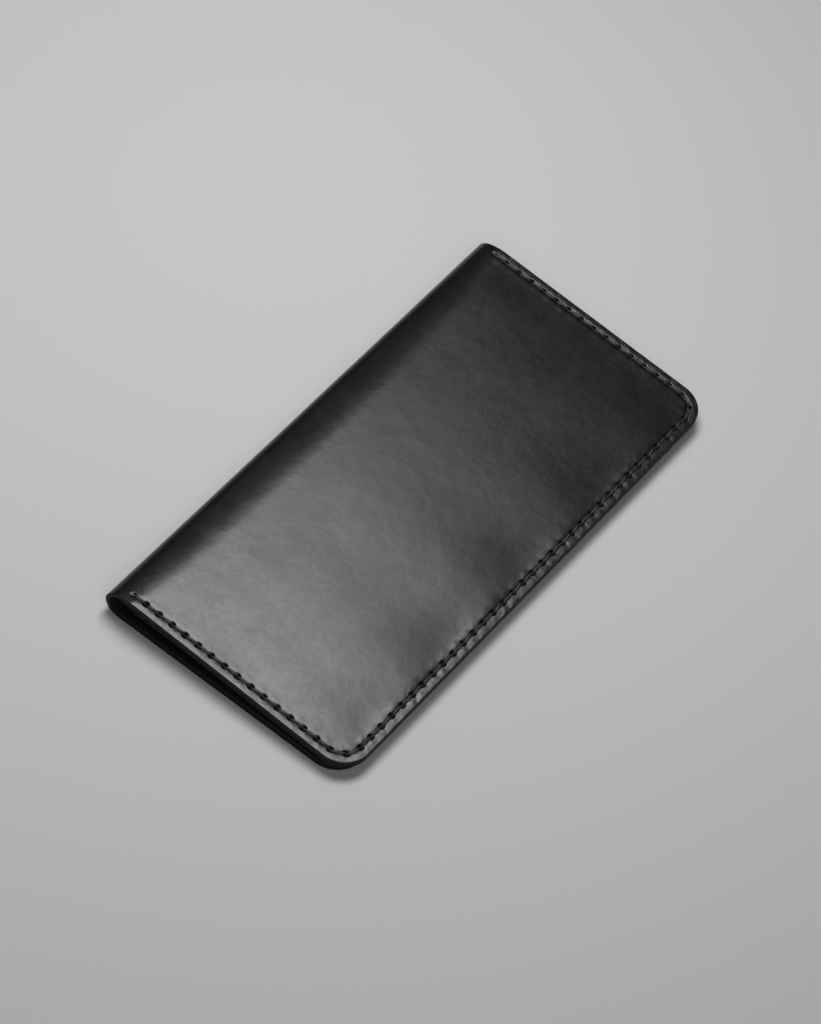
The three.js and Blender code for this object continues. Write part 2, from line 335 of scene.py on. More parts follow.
@dataclass(frozen=True)
class WaxedThread(Finish):
    """Twisted waxed thread: slanted plies on the thread's own UV map, its length along U."""

    pale: Colour = (0.03, 0.03, 0.03)
    turns: float = 700.0
    plies: float = 3.0
    crest: float = math.tau / 20
    wobble: float = 0.6
    band: tuple[float, float] = (0.1, 0.9)
    ply_depth: float = 0.07 * MM

    def draw(self, nodes: Nodes) -> None:
        """Draw a wave whose crests wind round the thread.

        Args:
            nodes: The material's nodes.
        """
        place = nodes.stretched(nodes.place("UV"), (self.turns, self.plies, 1.0))
        inputs = {"Vector": place, "Scale": self.crest, "Distortion": self.wobble}
        wave = nodes.add("ShaderNodeTexWave", inputs)
        wave.wave_type = "BANDS"
        wave.bands_direction = "DIAGONAL"
        plies = wave.outputs["Fac"]
        nodes.tint(nodes.spread(plies, self.band), self.colour, self.pale)
        nodes.relief((plies, self.ply_depth))


@dataclass(frozen=True)
class PaleFloor(Finish):
    """Plain matt floor."""

    specular: float = 0.2
    patches: Pattern = Pattern(0.4, 2.0)
    patch_tone: float = 0.97

    def draw(self, nodes: Nodes) -> None:
        """Draw a trace of unevenness in the floor's tone."""
        second = tuple(channel * self.patch_tone for channel in self.colour)
        nodes.tint(nodes.noise(nodes.place("Object"), self.patches), self.colour, second)


# Meshes


def grid_skin(columns: int, rows: int, shape: Callable[[float, float], Vector]) -> BMesh:
    """Bend a grid into a skin.

    Args:
        columns: Faces along the first direction.
        rows: Faces along the second direction.
        shape: Gives the place of a point from its two shares, each from 0 to 1.

    Returns:
        The skin, with the two shares as its UV map.
    """
    skin = bmesh.new()
    skin.loops.layers.uv.new("UVMap")
    bmesh.ops.create_grid(skin, x_segments=columns, y_segments=rows, size=0.5, calc_uvs=True)
    for vert in skin.verts:
        across = round((vert.co.x + 0.5) * columns) / columns
        along = round((vert.co.y + 0.5) * rows) / rows
        vert.co = shape(across, along)
    return skin


def boundary(skin: BMesh) -> list[BMEdge]:
    """Return the open edges of a skin."""
    return [edge for edge in skin.edges if edge.is_boundary]


def move(skin: BMesh, matrix: Matrix) -> None:
    """Move a whole skin by a matrix."""
    bmesh.ops.transform(skin, matrix=matrix, verts=skin.verts[:])


def weld(skin: BMesh) -> None:
    """Merge the points of a skin that lie on each other."""
    bmesh.ops.remove_doubles(skin, verts=skin.verts[:], dist=MERGE_DISTANCE)


def extruded(result: dict[str, list]) -> tuple[set[BMVert], list[BMEdge], list[BMFace]]:
    """Sort what an extrusion has made.

    Args:
        result: The operator's answer.

    Returns:
        Its new points, the edges between them, and its new faces.
    """
    made = result["geom"]
    verts = {item for item in made if isinstance(item, BMVert)}
    edges = [item for item in made if isinstance(item, BMEdge) and verts.issuperset(item.verts)]
    faces = [item for item in made if isinstance(item, BMFace)]
    return verts, edges, faces


def unroll(skin: BMesh, flat: Callable[[Vector], tuple[float, float]]) -> None:
    """Give a skin a UV map in metres.

    Args:
        skin: The skin, as drawn.
        flat: Gives a point's place on the flat leather.
    """
    layer = skin.loops.layers.uv.verify()
    for face in skin.faces:
        for loop in face.loops:
            loop[layer].uv = flat(loop.vert.co)


def thread_skin(line: Line, radius: float, squeeze: float, sides: int = 8) -> BMesh:
    """Wrap a round thread about its middle line.

    Args:
        line: Points of the middle line, each with the direction across the seam there.
        radius: Radius of the thread.
        squeeze: Its height as a share of its width.
        sides: Faces round it.

    Returns:
        The closed skin, with its length in metres along U.
    """
    last = len(line) - 1
    length = sum((line[index + 1][0] - line[index][0]).length for index in range(last))

    def wrap(share: float, around: float) -> Vector:
        """Find a point of the thread's surface.

        Args:
            share: Share of the thread's length.
            around: Share of its girth.

        Returns:
            The point.
        """
        index = round(share * last)
        point, across = line[index]
        ahead = line[min(index + 1, last)][0] - line[max(index - 1, 0)][0]
        rise = ahead.cross(across).normalized()
        angle = around * math.tau
        return point + across * (radius * math.cos(angle)) + rise * (radius * squeeze * math.sin(angle))

    skin = grid_skin(last, sides, wrap)
    layer = skin.loops.layers.uv.verify()
    for face in skin.faces:
        for loop in face.loops:
            loop[layer].uv.x *= length
    weld(skin)
    bmesh.ops.holes_fill(skin, edges=boundary(skin))
    return skin


def finish_piece(skin: BMesh, name: str, finishes: Sequence[Material]) -> Object:
    """Turn a skin into an object of the scene.

    Args:
        skin: The closed skin, in place.
        name: Name of the piece.
        finishes: Its materials, in the order of its slots.

    Returns:
        The object, at the origin.
    """
    bmesh.ops.recalc_face_normals(skin, faces=skin.faces[:])
    for face in skin.faces:
        face.smooth = True
    for edge in skin.edges:
        edge.smooth = edge.calc_face_angle(0.0) < SHARP_ANGLE
    mesh = bpy.data.meshes.new(name)
    skin.to_mesh(mesh)
    skin.free()
    for finish in finishes:
        mesh.materials.append(finish)
    piece = bpy.data.objects.new(name, mesh)
    bpy.context.scene.collection.objects.link(piece)
    return piece


def dress(piece: Object, body: str, node: str) -> Object:
    """Let a piece ride on a body in place of a node.

    Args:
        piece: The piece.
        body: Body that it moves with.
        node: Node that it stands for.

    Returns:
        The same piece.
    """
    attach(piece, body)
    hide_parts(node)
    return piece


# The frame: the fold's loop and the two halves


@dataclass(frozen=True)
class FoldLoop:
    """Circle that the outer face of the fold follows, and the turn from one leaf to the next."""

    centre_x: float
    radius: float
    turn: float
    leaves: int

    @classmethod
    def from_joints(cls, joints: Sequence[dict]) -> FoldLoop:
        """Work out the loop from the hinges of the fold, which lie on it.

        Args:
            joints: The joints of the frame, from the back half to the front half.

        Returns:
            The loop, which rests on the ground.
        """
        turn = math.radians(joints[0]["range_deg"][1])
        first_x, _, first_z = joints[0]["pos_m"]
        radius = first_z / (1 - math.cos(turn / 2))
        return cls(first_x + radius * math.sin(turn / 2), radius, turn, len(joints))

    @property
    def whole(self) -> float:
        """Angle of the whole fold, from the back half to the front half."""
        return self.turn * self.leaves

    def point(self, angle: float, radius: float) -> Vector:
        """Find a point of the fold.

        Args:
            angle: Its angle from the back half.
            radius: Its radius.

        Returns:
            The point, at mid-length.
        """
        return Vector((
            self.centre_x - radius * math.sin(angle),
            0.0,
            self.radius - radius * math.cos(angle),
        ))

    def leaf(self, turns: int) -> Matrix:
        """Return the matrix that lays a drawn leaf on the loop."""
        angle = turns * self.turn
        return Matrix.Translation(self.point(angle, self.radius)) @ Matrix.Rotation(angle, 4, "Y")


@dataclass(frozen=True)
class Leather:
    """Thicknesses of the wallet's leather and the space between its layers."""

    cover: float = 1.6 * MM
    panel: float = 1.0 * MM
    slot: float = 0.5 * MM
    gap: float = 0.15 * MM

    @property
    def half(self) -> float:
        """Thickness of one half: cover, gap and pocket panel."""
        return self.cover + self.gap + self.panel


@dataclass(frozen=True)
class EdgePath:
    """The U that edge and seam follow: two short sides, two round corners and the free long side."""

    depth: float
    half_length: float
    radius: float = 10 * MM
    margin: float = 3.2 * MM

    @property
    def straight(self) -> float:
        """Length of a short side up to its corner."""
        return self.depth - self.radius

    @property
    def arc(self) -> float:
        """Length of the seam round one corner."""
        return (self.radius - self.margin) * math.pi / 2

    @property
    def side(self) -> float:
        """Half the straight length of the long side."""
        return self.half_length - self.radius

    @property
    def whole(self) -> float:
        """Length of the seam's whole U, from fold to fold."""
        return 2 * (self.straight + self.arc + self.side)

    def locate(self, reach: float, along: float) -> tuple[float, float]:
        """Find a point of a sheet along the seam.

        Args:
            reach: Its way from the fold.
            along: Its way along Y.

        Returns:
            Its way along the seam and its distance in from the edge.
        """
        past = reach - self.straight
        beyond = abs(along) - self.side
        if past <= beyond and past <= 0:
            way, inset = reach, self.radius - beyond
        elif beyond <= 0:
            return self.straight + self.arc + self.side + along, self.radius - past
        else:
            angle = math.atan2(past, beyond)
            way = self.straight + angle * (self.radius - self.margin)
            inset = self.radius - math.hypot(past, beyond)
        return (way if along < 0 else self.whole - way), inset

    def point(self, way: float, inset: float) -> tuple[float, float]:
        """Find the point of a sheet at a way along the seam and a distance in from the edge.

        Args:
            way: Way along the seam.
            inset: Distance in from the edge.

        Returns:
            Its way from the fold and its way along Y.
        """
        if way > self.whole / 2:
            reach, along = self.point(self.whole - way, inset)
            return reach, -along
        if way <= self.straight:
            return way, inset - self.half_length
        turned = way - self.straight
        if turned < self.arc:
            angle = turned / (self.radius - self.margin)
            radius = self.radius - inset
            return self.straight + radius * math.sin(angle), -self.side - radius * math.cos(angle)
        return self.depth - inset, turned - self.arc - self.side

    def outward(self, reach: float, along: float) -> tuple[float, float]:
        """Find the direction out of the edge that is nearest to a point of a sheet.

        Args:
            reach: Its way from the fold.
            along: Its way along Y.

        Returns:
            The direction's part away from the fold and its part along Y.
        """
        past = reach - self.straight
        beyond = abs(along) - self.side
        sign = math.copysign(1.0, along)
        if past <= beyond and past <= 0:
            return 0.0, sign
        if beyond <= 0:
            return 1.0, 0.0
        length = math.hypot(past, beyond)
        return past / length, sign * beyond / length


@dataclass(frozen=True)
class Half:
    """One half of the wallet. It is drawn flat, outside down, and its free edge lies on one side."""

    body: str
    side: int
    turns: int
    path: EdgePath
    loop: FoldLoop

    @property
    def place(self) -> Matrix:
        """Matrix that lays the drawn half on the fold."""
        return self.loop.leaf(self.turns)

    def drawn(self, reach: float, along: float, height: float) -> Vector:
        """Return the drawn place of a point, by its height above the outside."""
        return Vector((self.side * reach, along, height))

    def flat(self, point: Vector) -> tuple[float, float]:
        """Return the place of a drawn point on the unrolled cover."""
        rolled = self.turns * self.loop.turn * self.loop.radius
        return point.x - rolled, point.y


# The seam


@dataclass(frozen=True)
class SeamPull:
    """How the seam draws one face of the leather: depths of its hollows, heights of what stands up."""

    groove: float
    dimple: float
    slit: float
    swell: float = 0.0
    rise: float = 0.0
    worn: float = 0.0


@dataclass(frozen=True)
class Seam:
    """Saddle stitch of one half: its holes and the relief that it pulls into the leather."""

    half: Half
    pitch: float = 5.13 * MM
    first: float = 1.6 * MM
    shift: float = 0.1 * MM
    spread: float = 0.2 * MM
    slit_length: float = 1.0 * MM
    slit_width: float = 0.95 * MM
    slit_floor: float = 0.5
    slit_wall: float = 0.65
    unevenness: float = 0.25
    uneven_step: float = 0.7
    end_depth: float = 0.45
    dimple_reach: float = 1.7 * MM
    groove_width: float = 0.75 * MM
    swell_offset: float = 1.9 * MM
    swell_width: float = 0.9 * MM
    inner_swell: float = 0.6
    fade: float = 2.4 * MM
    worn_length: float = 1.6 * MM
    worn_run: float = 3.0 * MM

    @property
    def lean(self) -> int:
        """Side to which a stitch on the outside leans at its start: 1 is inwards, -1 outwards."""
        return self.half.side

    @property
    def count(self) -> int:
        """Number of stitches."""
        return round((self.half.path.whole - 2 * self.first) / self.pitch)

    @property
    def step(self) -> float:
        """Distance between two holes."""
        return (self.half.path.whole - 2 * self.first) / self.count

    def hole(self, index: int) -> float:
        """Return the way along the seam of a hole."""
        return self.first + index * self.step

    def relief(self, way: float, inset: float, pull: SeamPull) -> float:
        """Work out the lift of the leather near the seam.

        Args:
            way: Way along the seam.
            inset: Distance in from the edge.
            pull: Depths and heights of the relief.

        Returns:
            The lift, which is negative in the groove and the holes.
        """
        across = inset - self.half.path.margin
        index = min(max(round((way - self.first) / self.step), 0), self.count)
        along = way - self.hole(index)
        length = math.hypot(self.shift, self.spread)
        lengthwise = (along * self.shift + across * self.lean * self.spread) / length
        sideways = (along * self.lean * self.spread - across * self.shift) / length
        place = Vector((index * self.uneven_step, 0.0, self.half.turns))
        uneven = 1 + self.unevenness * noise.noise(place)
        if index in (0, self.count):
            uneven *= self.end_depth
        distance = math.hypot(lengthwise / self.slit_length, sideways / self.slit_width)
        slit = 1 - ease((distance - self.slit_floor) / self.slit_wall)
        dimple = bell(along, self.dimple_reach) * bell(across, self.dimple_reach)
        between = 0.5 - 0.5 * math.cos(math.tau * (way - self.first) / self.step)
        outer = bell(across + self.swell_offset, self.swell_width)
        swell = between * (outer + self.inner_swell * bell(across - self.swell_offset, self.swell_width))
        groove = pull.groove * bell(across, self.groove_width)
        rise = pull.rise * max(-across / self.half.path.margin, 0.0) ** 2
        patch = noise.noise(Vector((way, inset, self.half.turns * self.pitch)) / self.worn_length)
        worn = pull.worn * patch * (1 - ease(across / self.worn_run))
        stand = rise + worn + pull.swell * swell
        lift = stand - groove - uneven * (pull.dimple * dimple + pull.slit * slit)
        return lift * ease(way / self.fade) * ease((self.half.path.whole - way) / self.fade)


# Leather sheets


@dataclass(frozen=True)
class EdgeStep:
    """One step of a rubbed edge: how far out it lies and how high, from the face or from the back."""

    out: float
    level: float
    from_face: bool
    skin: Skin


@dataclass(frozen=True)
class LeatherSheet:
    """A sheet of leather over one half, with the relief of its seam and a rubbed edge.

    A cover shows its outside and goes on into the fold. A panel shows its inside and has an open mouth.
    """

    seam: Seam
    leather: Leather
    pull: SeamPull
    face: Face
    cell: float = 2.6 * MM
    seam_zone: float = 6.5 * MM
    seam_columns: int = 30
    row_cuts: int = 9
    corner_steps: int = 34
    rounding: float = 0.25 * MM
    mouth_zone: float = 16 * MM
    mouth_cuts: int = 3
    notch_zone: float = 26 * MM

    @property
    def half(self) -> Half:
        """The half that the sheet is sewn to."""
        return self.seam.half

    @property
    def open_mouth(self) -> bool:
        """Whether the sheet ends at the fold."""
        return self.face is Face.INSIDE

    @property
    def face_height(self) -> float:
        """Height of the shown face above the outside of the half."""
        return self.leather.half if self.open_mouth else 0.0

    @property
    def thickness(self) -> float:
        """Thickness of the sheet."""
        return self.leather.panel if self.open_mouth else self.leather.cover

    def lift(self, reach: float, along: float) -> float:
        """Return the lift of the leather away from its seam: none on a plain sheet."""
        return 0.0

    def notch(self, along: float) -> float:
        """Return how far the mouth is cut back: nothing on a plain sheet."""
        return 0.0

    def skin(self) -> BMesh:
        """Build the sheet and lay it on its half.

        Returns:
            The closed skin, in place, with the places of its finishes.
        """
        skin = self.field()
        self.round_corners(skin)
        self.refine(skin)
        outwards = self.rim_directions(skin)
        self.lift_leather(skin)
        self.close_edge(skin, outwards)
        turn = Matrix.Diagonal((self.half.side, 1.0, self.face.value, 1.0))
        move(skin, Matrix.Translation((0.0, 0.0, self.face_height)) @ turn)
        unroll(skin, self.half.flat)
        move(skin, self.half.place)
        return skin

    def field(self) -> BMesh:
        """Lay out the flat middle of the sheet and the strips on its three sides.

        Returns:
            The flat sheet, without its corners.
        """
        path = self.half.path
        columns = round(path.straight / self.cell)
        rows = round(2 * path.side / self.cell)
        skin = grid_skin(columns, rows, lambda across, along: Vector((
            across * path.straight, (2 * along - 1) * path.side, 0.0)))
        for outwards in (Vector((0.0, -1.0, 0.0)), Vector((0.0, 1.0, 0.0)), Vector((1.0, 0.0, 0.0))):
            rim = [edge for edge in boundary(skin) if self.on_side(edge, outwards)]
            for width in (path.radius - self.seam_zone, self.seam_zone - self.rounding):
                verts, rim, _ = extruded(bmesh.ops.extrude_edge_only(skin, edges=rim))
                bmesh.ops.translate(skin, vec=outwards * width, verts=list(verts))
        return skin

    def on_side(self, edge: BMEdge, outwards: Vector) -> bool:
        """Tell on which side an edge of the flat middle lies.

        Args:
            edge: The edge.
            outwards: Direction out of the side that is asked about.

        Returns:
            Whether the edge lies on that side.
        """
        path = self.half.path
        ends = [vert.co for vert in edge.verts]
        if outwards.x:
            return all(end.x > path.straight - MERGE_DISTANCE
                       and abs(end.y) < path.side + MERGE_DISTANCE for end in ends)
        return all(end.y * outwards.y > path.side - MERGE_DISTANCE for end in ends)

    def round_corners(self, skin: BMesh) -> None:
        """Turn the end of each short side's strip round to the long side.

        Args:
            skin: The sheet.
        """
        path = self.half.path
        for sign in (-1, 1):
            centre = Vector((path.straight, sign * path.side, 0.0))
            ends = [edge for edge in boundary(skin)
                    if all(abs(vert.co.x - path.straight) < MERGE_DISTANCE
                           and vert.co.y * sign > path.side - MERGE_DISTANCE for vert in edge.verts)]
            verts = list(dict.fromkeys(vert for edge in ends for vert in edge.verts))
            bmesh.ops.spin(skin, geom=ends + verts, cent=centre, axis=(0.0, 0.0, 1.0),
                           angle=-sign * math.pi / 2, steps=self.corner_steps, use_merge=False)
        weld(skin)

    def insets(self, edge: BMEdge) -> tuple[float, float]:
        """Return how far in from the rim the ends of an edge lie, the smaller first."""
        near, far = sorted(self.half.path.locate(vert.co.x, vert.co.y)[1] for vert in edge.verts)
        return near, far

    def in_strip(self, edge: BMEdge) -> bool:
        """Tell whether an edge lies in the strip of the seam."""
        return self.insets(edge)[1] < self.seam_zone + self.rounding

    def refine(self, skin: BMesh) -> None:
        """Cut the seam's strip, and the columns near the fold, into small faces.

        Args:
            skin: The sheet.
        """
        across = []
        for edge in filter(self.in_strip, skin.edges):
            near, far = self.insets(edge)
            if far - near > self.seam_zone / 2:
                across.append(edge)
        bmesh.ops.subdivide_edges(skin, edges=across, cuts=self.seam_columns - 1, use_grid_fill=True)
        rows = [edge for edge in skin.edges if edge.calc_length() > self.cell / 2 and self.in_strip(edge)]
        bmesh.ops.subdivide_edges(skin, edges=rows, cuts=self.row_cuts, use_grid_fill=True)
        columns = [edge for edge in skin.edges
                   if max(vert.co.x for vert in edge.verts) < self.mouth_zone
                   and abs(edge.verts[0].co.x - edge.verts[1].co.x) > self.cell / 2]
        bmesh.ops.subdivide_edges(skin, edges=columns, cuts=self.mouth_cuts, use_grid_fill=True)

    def rim_directions(self, skin: BMesh) -> dict[BMVert, Vector]:
        """Find the direction out of the rim at each of its points.

        Args:
            skin: The flat sheet.

        Returns:
            The direction at each point of the rim: none where a cover goes on into the fold.
        """
        path = self.half.path
        directions = {}
        for vert in {vert for edge in boundary(skin) for vert in edge.verts}:
            _, inset = path.locate(vert.co.x, vert.co.y)
            out = Vector((0.0, 0.0, 0.0))
            if inset < 2 * self.rounding:
                out.xy = path.outward(vert.co.x, vert.co.y)
            if self.open_mouth and vert.co.x < MERGE_DISTANCE:
                out.x = -1.0
            directions[vert] = out
        return directions

    def lift_leather(self, skin: BMesh) -> None:
        """Give the flat sheet its relief, and cut its mouth back.

        Args:
            skin: The sheet.
        """
        path = self.half.path
        for vert in skin.verts:
            reach, along, _ = vert.co
            way, inset = path.locate(reach, along)
            lift = self.lift(reach, along)
            if inset < self.seam_zone:
                lift += self.seam.relief(way, inset, self.pull)
            cut = self.notch(along) * (1 - ease(reach / self.notch_zone))
            if self.open_mouth:
                cut += self.rounding * (1 - ease(reach / (3 * self.rounding)))
            vert.co = (reach + cut, along, lift)

    def edge_steps(self) -> list[EdgeStep]:
        """List the steps of the rubbed edge: a round over the face, a wall, a chamfer at the back.

        Returns:
            The steps, from the face to the back.
        """
        soft = self.rounding
        back = soft - self.thickness
        steps = []
        for index, (out, down) in enumerate(QUARTER_ROUND):
            skin = Skin.GRAIN if index < len(QUARTER_ROUND) / 2 else Skin.EDGE
            steps.append(EdgeStep(soft * out, soft * -down, True, skin))
        chamfer = QUARTER_ROUND[1][0]
        for out, down in ((1.0, 0.0), (chamfer, chamfer), (0.0, 1.0)):
            steps.append(EdgeStep(soft * out, back - soft * down, False, Skin.EDGE))
        return steps

    def close_edge(self, skin: BMesh, outwards: dict[BMVert, Vector]) -> None:
        """Take the rim round its edge to the back, and close the back.

        Where the leather goes on into the fold, the rim drops straight to the back in even steps.

        Args:
            skin: The sheet.
            outwards: Direction out of the rim at each of its points.
        """
        rim = boundary(skin)
        starts = {vert: vert.co.copy() for vert in outwards}
        steps = self.edge_steps()
        for index, step in enumerate(steps, 1):
            verts, rim, faces = extruded(bmesh.ops.extrude_edge_only(skin, edges=rim))
            before = {vert: self.rim_partner(vert, verts) for vert in verts}
            starts = {vert: starts[old] for vert, old in before.items()}
            outwards = {vert: outwards[old] for vert, old in before.items()}
            for face in faces:
                face.material_index = step.skin.value
            for vert in verts:
                start = starts[vert]
                level = step.level + (start.z if step.from_face else 0.0)
                if not outwards[vert].length_squared:
                    level = start.z - (self.thickness + start.z) * index / len(steps)
                vert.co = start + outwards[vert] * step.out
                vert.co.z = level
        for face in bmesh.ops.edgeloop_fill(skin, edges=rim)["faces"]:
            face.material_index = Skin.FLESH.value

    @staticmethod
    def rim_partner(vert: BMVert, fresh: set[BMVert]) -> BMVert:
        """Return the point of the old rim that an extruded point comes from."""
        return next(edge.other_vert(vert) for edge in vert.link_edges
                    if edge.other_vert(vert) not in fresh)

    def build(self, node: str, finishes: Sequence[Material]) -> Object:
        """Make the piece.

        Args:
            node: Node that it stands for.
            finishes: Materials of grain, edge and flesh side.

        Returns:
            The piece.
        """
        piece = finish_piece(self.skin(), f"{node}_leather", finishes)
        return dress(piece, self.half.body, node)


@dataclass(frozen=True)
class FoldRoll:
    """How the front cover eases into the fold: it sinks before the leather turns, most at mid-length."""

    half_length: float = 95 * MM
    middle: float = -8 * MM
    sink: float = 1.35 * MM
    end_sink: float = 0.55 * MM
    run: float = 10 * MM
    end_run: float = 4 * MM
    spread: float = math.radians(108)

    def at(self, along: float) -> tuple[float, float]:
        """Find the sink at a place along the fold.

        Args:
            along: Place along the fold.

        Returns:
            The sink, and the run in which it comes about.
        """
        share = 1 - min(abs(along - self.middle) / self.half_length, 1.0) ** 3
        sink = self.end_sink + (self.sink - self.end_sink) * share
        return sink, self.end_run + (self.run - self.end_run) * share

    def flat_sink(self, reach: float, along: float) -> float:
        """Return how far the front cover has sunk at a way from the fold and along it."""
        sink, run = self.at(along)
        return sink * (1 - min(reach / run, 1.0)) ** 2

    def fold_sink(self, angle: float, along: float, radius: float) -> float:
        """Work out how far the fold has sunk.

        Args:
            angle: Angle back from where the front cover leaves the fold.
            along: Place along the fold.
            radius: Radius of the fold.

        Returns:
            The sink, which goes on smoothly from the front cover's.
        """
        sink, run = self.at(along)
        share = min(angle / self.spread, 1.0)
        slope = 2 * sink / run * (radius - sink) * self.spread
        held = 2 * share ** 3 - 3 * share ** 2 + 1
        leaving = share ** 3 - 2 * share ** 2 + share
        return sink * held + slope * leaving


@dataclass(frozen=True)
class FrontCover(LeatherSheet):
    """Outside of the front half: it eases into the fold and is a little uneven from use."""

    roll: FoldRoll = FoldRoll()
    crown: float = 0.2 * MM
    crown_start: float = 4.5 * MM
    crown_run: float = 13 * MM
    swell: float = 0.16 * MM
    swell_length: float = 52 * MM
    slope: float = 0.26 * MM
    slope_run: float = 22 * MM
    slope_ends: float = 48 * MM
    pucker: float = 0.3 * MM
    pucker_length: float = 41.4 * MM
    pucker_start: float = -45 * MM
    pucker_fade: float = 20 * MM

    def lift(self, reach: float, along: float) -> float:
        """Work out the lift of the worn leather.

        Args:
            reach: Way from the fold.
            along: Way along Y.

        Returns:
            The lift: the leather stands higher inside its seam, slopes down to the free side, has
            shallow waves there that its seam pulls in, and sinks towards the fold.
        """
        path = self.half.path
        inset = path.depth - reach
        side_inset = inset - self.crown_start
        end_inset = path.half_length - abs(along) - self.crown_start
        beyond = ease(end_inset / self.crown_run)
        calm = ease(reach / self.roll.run) * ease(side_inset / self.crown_run) * beyond
        wave = noise.noise(Vector((reach, along, 0.0)) / self.swell_length)
        side = ease(side_inset / self.slope_run) * ease(reach / self.slope_ends)
        sloped = self.slope * ease(end_inset / self.slope_ends) * side
        pull = self.pucker * math.exp(-inset / self.pucker_fade)
        pull *= ease((inset - path.margin) / self.crown_start)
        waves = pull * beyond * math.sin(math.tau * (self.pucker_start - along) / self.pucker_length)
        stand = calm * (self.crown + self.swell * wave) + sloped
        return stand + waves - self.roll.flat_sink(reach, along)


@dataclass(frozen=True)
class PassportPocket(LeatherSheet):
    """Inside of the back half: a pocket with a shallow curve in its mouth for the thumb."""

    cell: float = 1.7 * MM
    row_cuts: int = 4
    curve_width: float = 34 * MM
    curve_depth: float = 7 * MM

    def notch(self, along: float) -> float:
        """Return how far the thumb curve cuts the mouth back."""
        share = min(abs(along) / (self.curve_width / 2), 1.0)
        return self.curve_depth * (1 - share ** 2)


# Seam threads


@dataclass(frozen=True)
class SeamThread:
    """The two strands of a saddle stitch, each in turn outside and inside."""

    cover: LeatherSheet
    outside_lift: float
    inside_lift: float = -0.12 * MM
    radius: float = 0.53 * MM
    squeeze: float = 0.75
    sink: float = 0.9 * MM
    tightness: int = 7
    samples: int = 9

    def route(self, phase: int) -> Line:
        """Lay out the middle line of one strand.

        Args:
            phase: 0 for the strand that starts outside, 1 for the other.

        Returns:
            Drawn points, each with the direction across the seam there.
        """
        half, seam = self.cover.half, self.cover.seam
        line = []
        for stitch in range(seam.count):
            outside = (stitch + phase) % 2 == 0
            sign = 1 if outside else -1
            lift = self.outside_lift if outside else self.inside_lift
            start = seam.hole(stitch) + sign * seam.shift
            end = seam.hole(stitch + 1) - sign * seam.shift
            for sample in range(self.samples):
                share = sample / (self.samples - 1)
                bow = math.sin(share * math.pi / 2) ** 2
                swing = sign * seam.lean * seam.spread * (1 - 2 * share)
                reach, along = half.path.point(start + (end - start) * bow, half.path.margin + swing)
                level = lift - (lift + self.sink) * abs(2 * bow - 1) ** self.tightness
                outer = -level - self.cover.lift(reach, along)
                height = outer if outside else self.cover.leather.half + level
                out_reach, out_along = half.path.outward(reach, along)
                line.append((half.drawn(reach, along, height), half.drawn(out_reach, out_along, 0.0)))
        return line

    def build(self, seam: str, finish: Material) -> list[Object]:
        """Make both strands.

        Args:
            seam: Name of the seam, with which the names of pieces and nodes start.
            finish: The thread's material.

        Returns:
            The two pieces.
        """
        half = self.cover.half
        pieces = []
        for phase in (0, 1):
            skin = thread_skin(self.route(phase), self.radius, self.squeeze)
            move(skin, half.place)
            piece = finish_piece(skin, f"{seam}_thread_{phase + 1}", [finish])
            pieces.append(dress(piece, half.body, f"{seam}_strand_{phase + 1}"))
        return pieces


# The fold


